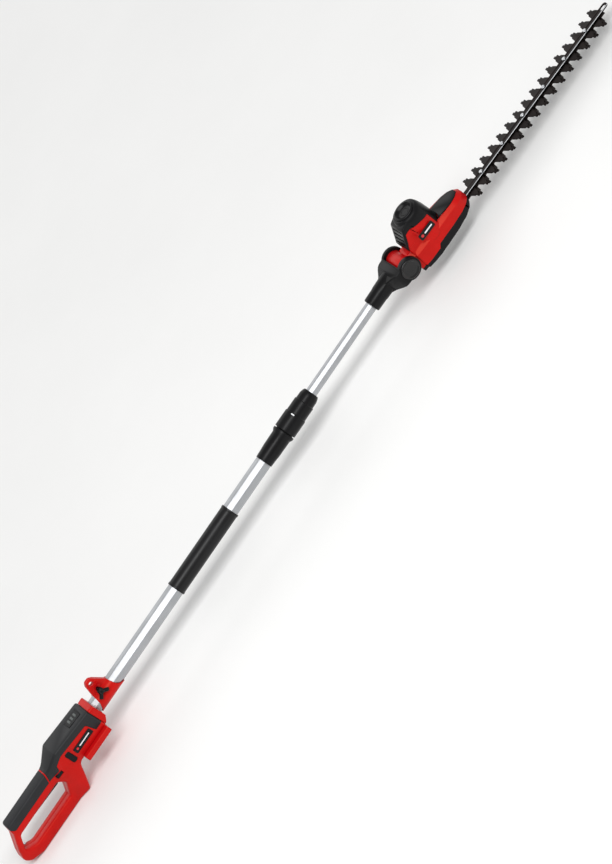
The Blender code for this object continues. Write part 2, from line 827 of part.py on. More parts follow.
def hull_mesh():
    """The low, boat-shaped base of the head, with its wide chamfer under the deck."""
    mesh = prism_mesh([both_sides(HEAD_PLAN)], -28.3, HEAD_DECK, "plan")
    cage = bmesh.new()
    cage.from_mesh(mesh)
    rim = [
        edge
        for edge in cage.edges
        if all(abs(vert.co.z - HEAD_DECK * MM) < MM / 10 for vert in edge.verts)
        and any(abs(face.normal.z) < 0.5 for face in edge.link_faces)
        and max(vert.co.x for vert in edge.verts) > 24 * MM
    ]
    bmesh.ops.bevel(
        cage,
        geom=rim,
        offset=7 * MM,
        offset_type="OFFSET",
        affect="EDGES",
        segments=1,
        profile=0.5,
        clamp_overlap=False,
        material=-1,
    )
    for vert in cage.verts:
        if vert.co.z > -5 * MM:
            vert.co.z += (deck_height(vert.co.x / MM) - HEAD_DECK) * MM
    bmesh.ops.triangulate(cage, faces=cage.faces)
    cage.to_mesh(mesh)
    cage.free()
    return mesh


def head_body_mesh():
    """The head above the seam as one solid: hull, upright motor barrel and the slanted rear duct."""
    body = add_object("head_hull", hull_mesh())
    barrel = [(0, 62.5), (25, 62.5), (27, 61), (29.5, 54), (31.2, 44), (32.6, 20), (33, -6), (0, -6)]
    drum = turned("motor_drum", barrel, "Z", (MOTOR_X, 0, 0), sides=40)
    duct_side = [(24.6, -10, 0), (24.6, 21, 3), (44, 54.5, 6), (56, 58.5, 4), (76, 58.5, 0), (76, -10, 0)]
    duct = prism("rear_duct", [rounded(duct_side)], -24, 24, "side")
    soften(duct, 3, 2)
    join(body, drum, duct)
    mesh = bake(body)
    bpy.data.objects.remove(drum)
    bpy.data.objects.remove(duct)
    return mesh


def cover_share(name, slack):
    """Everything above the line where the black motor cover meets the red shells."""
    edge = [(x, z + slack) for x, z in RED_EDGE]
    front = RED_EDGE[-1][0] + slack
    deck = HEAD_DECK + slack
    front_step = [(front, edge[-1][1]), (front, deck), (120, deck)]
    return prism(name, [edge + front_step + [(120, 90), (0, 90), (0, edge[0][1])]], -60, 60, "side")


def below_seam(name):
    """What the bottom cover takes from the hull."""
    corners = [(0, -40), (0, -28), (63, -28), (70, SEAM_Z), (200, SEAM_Z), (200, -40)]
    return prism(name, [corners], -60, 60, "side")


def inlay_outline(slack):
    half = [(97 - slack, 20 + slack), (138, 19 + slack), (152, 14 + slack), (161 + slack, 6)]
    return both_sides(half)


def head_shell(name, side, head):
    shell = add_object(name, head_body_mesh(), RED, head)
    cut(
        shell,
        cover_share(name + "_cover_seat", 0.0),
        below_seam(name + "_seam"),
        rod(name + "_motor_bay", 29.6, -18, 70, "Z", (MOTOR_X, 0, 0), sides=40),
        rod(name + "_gear_bay", 24, -60, -4, "Z", (GEAR_X, 0, 0), sides=32),
        block(name + "_tongue_way", (50, 24.6, 18.6), (32, 0, 0)),
        rod(name + "_barrel_seat", BARREL_RADIUS + GAP, -40, 40, "Y", (0, 0, 0), sides=40),
        prism(name + "_inlay_seat", [inlay_outline(GAP)], -3.2, 30, "plan"),
        half_space(name + "_other_half", side),
    )
    return shell


def make_head_shells(head):
    head_shell("head_shell_right", -1, head)
    head_shell("head_shell_left", 1, head)
    cover = add_object("motor_cover", head_body_mesh(), BLACK, head)
    keep(cover, cover_share("motor_cover_share", GAP))
    cut(
        cover,
        rod("motor_cover_hollow", 26, -30, 55, "Z", (MOTOR_X, 0, 0), sides=40),
        rod("cap_seat", 22.3, 50, 80, "Z", (MOTOR_X, 0, 0), sides=32),
    )
    slant = math.atan2(54.5 - 21, 44 - 24.6)
    for k in range(4):
        louvre = block(f"louvre_{k}", (7, 34, 2.2), (0, 0, 0))
        louvre.rotation_euler = (0, 0.35 - slant + math.pi / 2, 0)
        louvre.location = Vector((27.8 + 4.2 * k, 0, 27 + 7.2 * k)) * MM
        cut(cover, louvre)
    cap = [(0, 66.2), (14, 66), (20, 65), (22, 63), (22, 57.3), (0, 57.3)]
    turned("motor_cap", cap, "Z", (MOTOR_X, 0, 0), BLACK, head, 32)
    inlay = prism("top_inlay", [inlay_outline(0)], -2.9, 30, "plan", BLACK, head)
    deck_side = [(90, -20), (90, HEAD_DECK + 0.8), (96, HEAD_DECK + 0.8), (HEAD_NOSE, 1.8), (HEAD_NOSE, -20)]
    keep(inlay, prism("inlay_deck", [deck_side], -60, 60, "side"))
    cut(inlay, rod("inlay_drum_notch", 33.8, -30, 60, "Z", (MOTOR_X, 0, 0), sides=40))
    plate = rectangle(53, 91, 14, 28, 3)
    prism("label_plate_head", [plate], -34.4, -33.6, "side", LABEL_BLACK, head)


def make_bottom_cover(head):
    cover = prism("bottom_cover", [both_sides(HEAD_PLAN)], -45, -15, "plan", BLACK, head)
    belly = [
        (15.3, -28.3),
        (63, -28.3),
        (70, SEAM_Z - GAP),
        (HEAD_NOSE - 0.5, SEAM_Z - GAP),
        (165, -27),
        (157, -32),
        (138, -35.3),
        (108, -37.4),
        (58, -38.7),
        (15.3, -35.5),
    ]
    side_view = prism("belly", [belly], -60, 60, "side")
    keep(cover, side_view)
    mesh = bake(cover)
    bpy.data.objects.remove(side_view)
    cover = add_object("bottom_cover", mesh, BLACK, head)
    soften(cover, 1.2, 2, 60)
    cut(
        cover,
        block("blade_bay", (88, 46, 20), (110, 0, -19.5)),
        block("bar_way", (40, 20, 20), (160, 0, -19.5)),
        rod("gear_axle_seat", 4.2, -33, -20, "Z", (GEAR_X, 0, 0), sides=16),
    )


def make_barrel(head):
    barrel = rod("knuckle_barrel", BARREL_RADIUS, -25.9, 25.9, "Y", (0, 0, 0), RED, head, 40)
    join(barrel, block("barrel_tongue", (40, 24, 18), (24, 0, 0)))
    cut(barrel, rod("barrel_bore", AXLE_RADIUS + 0.25, -40, 40, "Y", (0, 0, 0), sides=20))


def gear_outline(teeth, phase):
    """A spur gear's outline with straight-sided teeth and room for backlash."""
    pitch_radius = GEAR_MODULE * teeth / 2
    points = []
    for k in range(teeth):
        middle = phase + 2 * math.pi * k / teeth
        for radius, half_share in (
            (pitch_radius - 1.2 * GEAR_MODULE, -0.26),
            (pitch_radius + 0.8 * GEAR_MODULE, -0.11),
            (pitch_radius + 0.8 * GEAR_MODULE, 0.11),
            (pitch_radius - 1.2 * GEAR_MODULE, 0.26),
        ):
            angle = middle + half_share * 2 * math.pi / teeth
            points.append((radius * math.cos(angle), radius * math.sin(angle)))
    return points


def make_drive(head):
    """Motor, pinion, and the gear whose two eccentrics push the blades in opposite directions."""
    motor = [(0, 54), (17, 54), (18, 53), (18, 3), (9, 3), (9, 1), (0, 1)]
    turned("motor", motor, "Z", (MOTOR_X, 0, 0), STEEL, head, 28)
    pinion = prism("motor_pinion", [gear_outline(PINION_TEETH, 0)], -18, -8, "plan", STEEL, head)
    pinion.location.x = MOTOR_X * MM
    join(pinion, rod("motor_shaft", 1.6, -9, 0.7, "Z", (MOTOR_X, 0, 0), sides=12))
    # The gear's tooth spaces face the pinion's teeth on the line between the centres.
    phase = math.pi + math.pi / GEAR_TEETH
    gear = prism("drive_gear", [gear_outline(GEAR_TEETH, phase)], -17.5, -8.5, "plan", STEEL, head)
    gear.location.x = GEAR_X * MM
    upper = BAR_TOP - BAR_THICKNESS
    lower_top = upper - 2 * BLADE_SPACING - BLADE_THICKNESS
    join(
        gear,
        rod("gear_hub", 6.5, lower_top - BLADE_THICKNESS + 0.1, -10, "Z", (GEAR_X, 0, 0), sides=24),
        rod(
            "upper_eccentric",
            ECCENTRIC_RADIUS,
            lower_top + 0.1,
            upper,
            "Z",
            (GEAR_X, ECCENTRICITY, 0),
            sides=32,
        ),
        rod(
            "lower_eccentric",
            ECCENTRIC_RADIUS,
            lower_top - BLADE_THICKNESS,
            lower_top,
            "Z",
            (GEAR_X, -ECCENTRICITY, 0),
            sides=32,
        ),
    )
    cut(gear, rod("gear_bore", 4.15, -60, 10, "Z", (GEAR_X, 0, 0), sides=24))
    rod("gear_axle", 4.0, -32.7, -6, "Z", (GEAR_X, 0, 0), STEEL, head, 24)


# ---------------------------------------------------------------- cutter bar


def tooth(at, direction):
    """One tooth's outline on the +Y side (direction 1) or turned half round on the -Y side (-1)."""
    shoulder = TOOTH_REACH - 9
    profile = [(-2, BLADE_HALF_WIDTH), (0, shoulder - 2), (2.2, shoulder), (2.4, TOOTH_REACH - 0.8)]
    profile += [(3.2, TOOTH_REACH), (6.8, TOOTH_REACH), (7.6, TOOTH_REACH - 0.8), (7.8, shoulder + 1)]
    profile += [(10.5, shoulder - 1), (16, BLADE_HALF_WIDTH)]
    return [(at + direction * u, direction * v) for u, v in profile]


def blade_outline(shift):
    """A double-sided blade: its drive plate in the head, then teeth along both edges to the tip."""
    last_end = FIRST_TOOTH + TOOTH_PITCH * (TOOTH_COUNT - 1) + 15.5
    far = []
    near = []
    for k in range(TOOTH_COUNT):
        far += tooth(FIRST_TOOTH + TOOTH_PITCH * k, 1)
        near += list(reversed(tooth(FIRST_TOOTH + 3 + TOOTH_PITCH * k, -1)))
    plate = [(140, BLADE_HALF_WIDTH), (127, 19), (78, 19)]
    outline = [(u, -v) for u, v in reversed(plate)]
    outline += near
    outline += [(last_end, -BLADE_HALF_WIDTH), (last_end, BLADE_HALF_WIDTH)]
    outline += list(reversed(far))
    outline += plate
    return [(u + shift, v) for u, v in outline]


def screw_positions():
    return [FIRST_SCREW + SCREW_PITCH * k for k in range(SCREW_COUNT)]


def make_blade(name, top, shift, head):
    slots = [
        rectangle(at - 3.3 - BLADE_STROKE - 2, at + 3.3 + BLADE_STROKE + 2, -3.2, 3.2, 3)
        for at in screw_positions()
    ]
    reach = ECCENTRIC_RADIUS + ECCENTRICITY + 0.6
    half_window = reach + BLADE_STROKE + 2
    window = rectangle(GEAR_X - half_window, GEAR_X + half_window, -reach, reach, 3)
    loops = [blade_outline(shift), window] + slots
    return prism(name, loops, top - BLADE_THICKNESS, top, "plan", BLADE_STEEL, head)


def make_cutter_bar(head):
    hole_sides = 16
    loops = [
        rounded(
            [
                (150, -BAR_HALF_WIDTH, 0),
                (BAR_TIP, -BAR_HALF_WIDTH, 5.5),
                (BAR_TIP, BAR_HALF_WIDTH, 5.5),
                (150, BAR_HALF_WIDTH, 0),
            ],
            4,
        ),
        rectangle(BAR_TIP - 17, BAR_TIP - 4.5, -4, 4, 3.5),
    ]
    loops += [circle(at, 0, 3.1, hole_sides) for at in screw_positions()]
    prism("guide_bar", loops, BAR_TOP - BAR_THICKNESS, BAR_TOP, "plan", BLADE_STEEL, head)
    top = BAR_TOP - BAR_THICKNESS - BLADE_SPACING
    make_blade("blade_upper", top, -BLADE_REST_SHIFT, head)
    bottom = top - BLADE_THICKNESS - BLADE_SPACING
    make_blade("blade_lower", bottom, BLADE_REST_SHIFT, head)
    underside = bottom - BLADE_THICKNESS - BLADE_SPACING
    profile = [
        (0, BAR_TOP + 3.2),
        (3.2, BAR_TOP + 3.2),
        (4.2, BAR_TOP + 2.4),
        (4.2, BAR_TOP + 0.2),
        (2.8, BAR_TOP + 0.2),
        (2.8, underside),
        (5.5, underside),
        (5.5, underside - 2.2),
        (0, underside - 2.2),
    ]
    for number, at in enumerate(screw_positions(), start=1):
        turned(f"bar_screw_{number}", profile, "Z", (at, 0, 0), STEEL, head, 16)


def main():
    pole = empty("pole_axis", (0, 0, POLE_AXIS_HEIGHT))
    make_handle(pole)
    make_dock(pole)
    make_controls(pole)
    make_pole(pole)
    make_strap_clamp(pole)
    make_telescope_clamp(pole)
    make_knuckle(pole)
    head = empty("head_pivot", (station(PIVOT_STATION), 0, PIVOT_Z), HEAD_PITCH, pole)
    make_barrel(head)
    make_head_shells(head)
    make_bottom_cover(head)
    make_drive(head)
    make_cutter_bar(head)


main()
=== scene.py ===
"""The looks of a telescopic pole hedge trimmer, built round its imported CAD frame.

X runs along the pole towards the cutter, Z is up on the motor's side, and -Y is the side with the labels.
Sizes are in millimetres. A station is a distance along the pole from the rear end of the handle.
"""

import logging
import math
from dataclasses import dataclass
from enum import Enum
from typing import Callable, Dict, List, Sequence, Tuple, Union

import bmesh
import bpy
from mathutils import Matrix, Vector


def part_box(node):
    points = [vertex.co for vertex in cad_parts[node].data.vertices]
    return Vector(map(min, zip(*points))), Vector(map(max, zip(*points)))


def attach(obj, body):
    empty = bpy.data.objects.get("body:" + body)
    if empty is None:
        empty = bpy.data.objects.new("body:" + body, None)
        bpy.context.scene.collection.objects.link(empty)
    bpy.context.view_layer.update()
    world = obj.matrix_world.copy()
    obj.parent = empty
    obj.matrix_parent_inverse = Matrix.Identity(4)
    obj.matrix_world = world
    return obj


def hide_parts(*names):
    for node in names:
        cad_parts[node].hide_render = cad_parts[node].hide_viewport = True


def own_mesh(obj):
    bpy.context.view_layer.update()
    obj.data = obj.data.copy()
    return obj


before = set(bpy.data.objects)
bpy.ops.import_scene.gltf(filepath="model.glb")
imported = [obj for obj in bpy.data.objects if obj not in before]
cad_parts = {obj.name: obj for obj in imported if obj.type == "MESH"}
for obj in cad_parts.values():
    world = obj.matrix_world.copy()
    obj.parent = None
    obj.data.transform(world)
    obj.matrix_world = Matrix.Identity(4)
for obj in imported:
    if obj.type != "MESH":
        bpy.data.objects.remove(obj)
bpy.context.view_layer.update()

MM = 0.001

# Vertices nearer than this are one, and faces that meet flatter than this are one face.
WELD_REACH = 0.01 * MM
FLATNESS_DEG = 0.6

# How far printed ink stands proud of its plate, how deep it is rooted, and how round its rim is.
INK_RISE = 0.12
INK_ROOT = 0.2
INK_ROUNDING = 0.05

LOG = logging.getLogger("pole_hedge_trimmer")

Colour = Tuple[float, float, float, float]
Value = Union[bool, float, str, Tuple[float, ...], bpy.types.NodeSocket]
Point = Tuple[float, float]
Spot = Tuple[float, float, float]


class Slot(Enum):
    """The record's material slots."""

    RED = "red_plastic"
    BLACK = "black_plastic"
    STEEL = "steel"
    BLADE = "blade_steel"
    LEAD = "lead_sheath"
    LABEL = "label_film"


class Body(Enum):
    """The moving bodies that the new pieces ride on."""

    HANDLE = "handle"
    CLAMP_NUT = "clamp_nut"
    STRAP_CLAMP = "strap_clamp"
    WING_KNOB = "wing_knob"
    UPPER_POLE = "upper_pole"
    BUTTON_RIGHT = "lock_button_right"
    BUTTON_LEFT = "lock_button_left"
    HEAD = "head"


# ---------------------------------------------------------------------------------------------- nodes


def linear(hex_colour: str) -> Colour:
    """Turn an sRGB hex colour into linear RGBA.

    Args:
        hex_colour: six hex digits after a hash sign.

    Returns:
        The colour as Blender's sockets take it.
    """
    channels = [int(hex_colour[k : k + 2], 16) / 255 for k in (1, 3, 5)]
    values = [c / 12.92 if c <= 0.04045 else ((c + 0.055) / 1.055) ** 2.4 for c in channels]
    return (values[0], values[1], values[2], 1.0)


def add_node(
    tree: bpy.types.NodeTree, kind: str, values: Dict[Union[str, int], Value], **settings: object
) -> bpy.types.Node:
    """Add a node with its settings, and fill its inputs.

    Args:
        tree: the node tree.
        kind: the node's type name.
        values: a number, a colour or another node's output for each input.
        **settings: the node's own properties.

    Returns:
        The new node.
    """
    node = tree.nodes.new(kind)
    for name, setting in settings.items():
        setattr(node, name, setting)
    for name, value in values.items():
        if isinstance(value, bpy.types.NodeSocket):
            tree.links.new(value, node.inputs[name])
        else:
            node.inputs[name].default_value = value
    return node


def per_metre(size_mm: float) -> float:
    """Give the texture scale at which a pattern's cells are about that many millimetres wide."""
    return 1000.0 / size_mm


@dataclass(frozen=True)
class Finish:
    """A surface with a slow drift in colour and gloss, and a fine grain that stands in relief.

    Args:
        name: the material's name.
        colour: its colour, as sRGB hex.
        second_colour: what it drifts towards.
        roughness: its middle roughness.
        grain_mm: how wide the grain is.
        grain_depth_mm: how deep the grain is.
        roughness_spread: how far the roughness drifts either way.
        metallic: 1 for a bare metal.
        ior: index of refraction.
        specular: strength of the reflection of a surface seen face on.
        specular_tint: colour of that reflection.
        drift_mm: how wide the slow drift's patches are.
        grain_stretch: scale of the grain along X, Y and Z.
    """

    name: str
    colour: str
    second_colour: str
    roughness: float
    grain_mm: float
    grain_depth_mm: float
    roughness_spread: float = 0.04
    metallic: float = 0.0
    ior: float = 1.5
    specular: float = 0.5
    specular_tint: str = "#FFFFFF"
    drift_mm: float = 45.0
    grain_stretch: Spot = (1.0, 1.0, 1.0)

    def height(self, tree: bpy.types.NodeTree, place: bpy.types.NodeSocket) -> bpy.types.NodeSocket:
        """Make the relief of the surface's own grain.

        Args:
            tree: the material's node tree.
            place: object coordinates.

        Returns:
            A height from 0 to 1.
        """
        stretched = add_node(tree, "ShaderNodeMapping", {"Vector": place, "Scale": self.grain_stretch})
        values = {"Vector": stretched.outputs["Vector"], "Scale": per_metre(self.grain_mm), "Detail": 3.0}
        return add_node(tree, "ShaderNodeTexNoise", values).outputs["Fac"]

    def tint(
        self, tree: bpy.types.NodeTree, place: bpy.types.NodeSocket, drift: bpy.types.NodeSocket
    ) -> bpy.types.NodeSocket:
        """Mix the two colours by the slow drift.

        Args:
            tree: the material's node tree.
            place: object coordinates.
            drift: the slow noise.

        Returns:
            The base colour.
        """
        share = add_node(tree, "ShaderNodeMapRange", {"Value": drift, "From Min": 0.35, "From Max": 0.65})
        values = {0: share.outputs["Result"], 6: linear(self.colour), 7: linear(self.second_colour)}
        return add_node(tree, "ShaderNodeMix", values, data_type="RGBA").outputs[2]

    def build(self) -> bpy.types.Material:
        """Build the material, or give back the one that is already built."""
        known = bpy.data.materials.get(self.name)
        if known:
            return known
        material = bpy.data.materials.new(self.name)
        material.use_nodes = True
        tree = material.node_tree
        tree.nodes.clear()
        place = add_node(tree, "ShaderNodeTexCoord", {}).outputs["Object"]
        slow = {"Vector": place, "Scale": per_metre(self.drift_mm), "Detail": 4.0, "Roughness": 0.6}
        drift = add_node(tree, "ShaderNodeTexNoise", slow).outputs["Fac"]
        gloss_range = {
            "Value": drift,
            "From Min": 0.3,
            "From Max": 0.7,
            "To Min": self.roughness - self.roughness_spread,
            "To Max": self.roughness + self.roughness_spread,
        }
        gloss = add_node(tree, "ShaderNodeMapRange", gloss_range)
        relief = {"Height": self.height(tree, place), "Distance": self.grain_depth_mm * MM, "Strength": 1.0}
        bump = add_node(tree, "ShaderNodeBump", relief)
        surface = {
            "Base Color": self.tint(tree, place, drift),
            "Roughness": gloss.outputs["Result"],
            "Metallic": self.metallic,
            "IOR": self.ior,
            "Specular IOR Level": self.specular,
            "Specular Tint": linear(self.specular_tint),
            "Normal": bump.outputs["Normal"],
        }
        shader = add_node(tree, "ShaderNodeBsdfPrincipled", surface)
        add_node(tree, "ShaderNodeOutputMaterial", {"Surface": shader.outputs["BSDF"]})
        return material


@dataclass(frozen=True)
class PebbledFinish(Finish):
    """A moulded rubber surface with small rounded pebbles instead of a noise grain."""

    def height(self, tree: bpy.types.NodeTree, place: bpy.types.NodeSocket) -> bpy.types.NodeSocket:
        """Make rounded pebbles a grain width apart, as Finish.height does its grain."""
        values = {"Vector": place, "Scale": per_metre(self.grain_mm)}
        cells = add_node(tree, "ShaderNodeTexVoronoi", values, feature="SMOOTH_F1")
        domes = {
            "Value": cells.outputs["Distance"],
            "From Min": 0.1,
            "From Max": 0.6,
            "To Min": 1.0,
            "To Max": 0.0,
        }
        return add_node(tree, "ShaderNodeMapRange", domes).outputs["Result"]


@dataclass(frozen=True)
class BoardFinish(Finish):
    """A circuit board's lacquer with copper tracks under it."""

    track_mm: float = 1.6
    track_colour: str = "#5E8C3A"

    def tint(
        self, tree: bpy.types.NodeTree, place: bpy.types.NodeSocket, drift: bpy.types.NodeSocket
    ) -> bpy.types.NodeSocket:
        """Lay lighter tracks a few pitches long over the lacquer, as Finish.tint does its drift."""
        upright = add_node(tree, "ShaderNodeMapping", {"Vector": place, "Rotation": (math.pi / 2, 0.0, 0.0)})
        values = {
            "Vector": upright.outputs["Vector"],
            "Scale": per_metre(self.track_mm) / 4,
            "Mortar Size": 0.05,
            "Color1": linear(self.colour),
            "Color2": linear(self.second_colour),
            "Mortar": linear(self.track_colour),
        }
        return add_node(tree, "ShaderNodeTexBrick", values).outputs["Color"]


class Finishes:
    """Every finish on the machine, each named for what it is and how its surface was made."""

    # Injection-moulded ABS from a lightly eroded tool: a clear, saturated red with soft highlights.
    RED = Finish(
        "red_abs_injection_moulded",
        "#C60E13",
        "#B80C10",
        0.33,
        1.1,
        0.012,
        specular=0.4,
        specular_tint="#FFA582",
    )
    # The same plastic in black, from a nearly polished tool: deep, with small clear highlights.
    BLACK = Finish("black_abs_injection_moulded", "#09090A", "#0E0E10", 0.32, 1.2, 0.012, specular=0.19)
    # Black again, from a coarsely eroded tool, which spreads a highlight into a wide grey band.
    BLACK_ERODED = Finish("black_abs_spark_eroded", "#1D1E20", "#232426", 0.42, 1.2, 0.02, specular=0.27)
    # Polished patches of the same tool, for the lock buttons and the knob's insert: sharp, bright lips.
    BLACK_GLOSS = Finish("black_abs_polished", "#0B0B0C", "#101011", 0.2, 1.5, 0.004, specular=0.45)
    # Thermoplastic rubber moulded over the grip: dark grey, dull, with a fine pebble. The real pebble is
    # about 0.5 mm and is drawn at 1.6 mm so that it shows.
    GRIP = PebbledFinish("black_tpe_overmoulded", "#1F2022", "#26272A", 0.5, 1.6, 0.035, specular=0.27)
    # Foam rubber sleeve, slid on and buffed: deep black, with a soft sheen along its roundest line.
    SLEEVE = PebbledFinish("black_foam_rubber_buffed", "#0A0A0B", "#0F0F11", 0.36, 1.4, 0.02, specular=0.3)
    # Extruded tube, brushed lengthwise and clear anodised: pale, with fine streaks along the tube. The
    # streaks are drawn at 1.2 mm, where the real ones are finer than the eye sees.
    ALUMINIUM = Finish(
        "aluminium_extruded_clear_anodised",
        "#B3B5B8",
        "#A9ABAE",
        0.4,
        1.2,
        0.006,
        metallic=1.0,
        grain_stretch=(0.02, 1.0, 1.0),
    )
    # Bright zinc on turned and headed steel parts: small, cool glints.
    STEEL = Finish("steel_bright_zinc_plated", "#C4C6C8", "#B4B6B9", 0.26, 0.8, 0.006, metallic=1.0)
    # Spring wire, drawn and oiled: a darker grey than the zinc.
    SPRING = Finish("spring_steel_drawn", "#8E9094", "#7C7E82", 0.3, 0.6, 0.004, metallic=1.0)
    # Stamped and chemically blackened blade steel with a thin oil film: brown-black with dim reflections.
    BLADE = Finish("blade_steel_stamped_blackened", "#1E1A19", "#2B2523", 0.4, 1.5, 0.012, metallic=1.0)
    # The same steel in a pale, bright tone: one bright line along the bar's near edge.
    BRIGHT_STRIP = Finish("blade_steel_bright_strip", "#C9CBCE", "#B9BBBE", 0.28, 0.6, 0.006, metallic=1.0)
    # Glass-fibre board under green lacquer, with lighter tracks.
    BOARD = BoardFinish("fr4_board_lacquered", "#0F4A28", "#125230", 0.35, 2.0, 0.01)
    # PVC sheath, extruded: black and slightly dull.
    LEAD = Finish("black_pvc_extruded", "#1A1A1C", "#222225", 0.45, 1.0, 0.01)
    # Polyester label film, laminated: the deepest black on the machine, and the flattest.
    LABEL = Finish("black_polyester_film_laminated", "#070708", "#0B0B0C", 0.22, 3.0, 0.003, specular=0.25)
    # Screen-printed inks on the labels: even and nearly matt. The white ink also paints a pale bar on the
    # clamp nut, a painted highlight of the nut's step.
    WHITE_INK_AND_HIGHLIGHT = Finish("white_ink_and_painted_highlight", "#EDEEF0", "#E2E4E6", 0.4, 1.0, 0.004)
    RED_INK = Finish("red_ink_screen_printed", "#D0272B", "#C62226", 0.4, 1.0, 0.004)
    # Acrylic light pipes over unlit lamps: dim grey-green, and shinier than the panel round them.
    LENS = Finish("acrylic_moulded_frosted", "#39413F", "#303735", 0.2, 1.5, 0.004, ior=1.49)
    # Gold-flashed contact blades: the one warm metal.
    CONTACT = Finish("brass_contacts_gold_flashed", "#C9A14A", "#B88F3C", 0.28, 0.8, 0.004, metallic=1.0)
    # Matt studio paint, rolled on: almost white, with no highlight.
    FLOOR = Finish("floor_paint_rolled", "#F4F4F3", "#F1F1F0", 0.8, 6.0, 0.01, drift_mm=600.0)


# ---------------------------------------------------------------------------------------------- places


def middle(node: str) -> Vector:
    """Give the middle of a CAD node's box, in metres."""
    low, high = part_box(node)
    return (low + high) / 2


LOWER_TUBE_START = 215.0
HEAD_PITCH = math.radians(2.07)
POLE = Matrix.Translation(
    (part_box("lower_tube")[0].x - LOWER_TUBE_START * MM, middle("lower_tube").y, middle("lower_tube").z)
)
HEAD = Matrix.Translation(middle("pivot_axle")) @ Matrix.Rotation(HEAD_PITCH, 4, "Y")

# Each turns a drawing plane's (u, v, depth) into the machine's axes.
PLAN = Matrix.Identity(4)
SIDE = Matrix(((1, 0, 0, 0), (0, 0, 1, 0), (0, 1, 0, 0), (0, 0, 0, 1)))


@dataclass(frozen=True)
class Winding:
    """The size of a coil of round wire, in millimetres.

    Args:
        radius: from the axis to the middle of the wire.
        wire: radius of the wire itself.
        turns: how often it goes round.
        fixed: the end of its axis that stays.
        moving: the end of its axis that a joint may press.
    """

    radius: float
    wire: float
    turns: float
    fixed: Spot
    moving: Spot


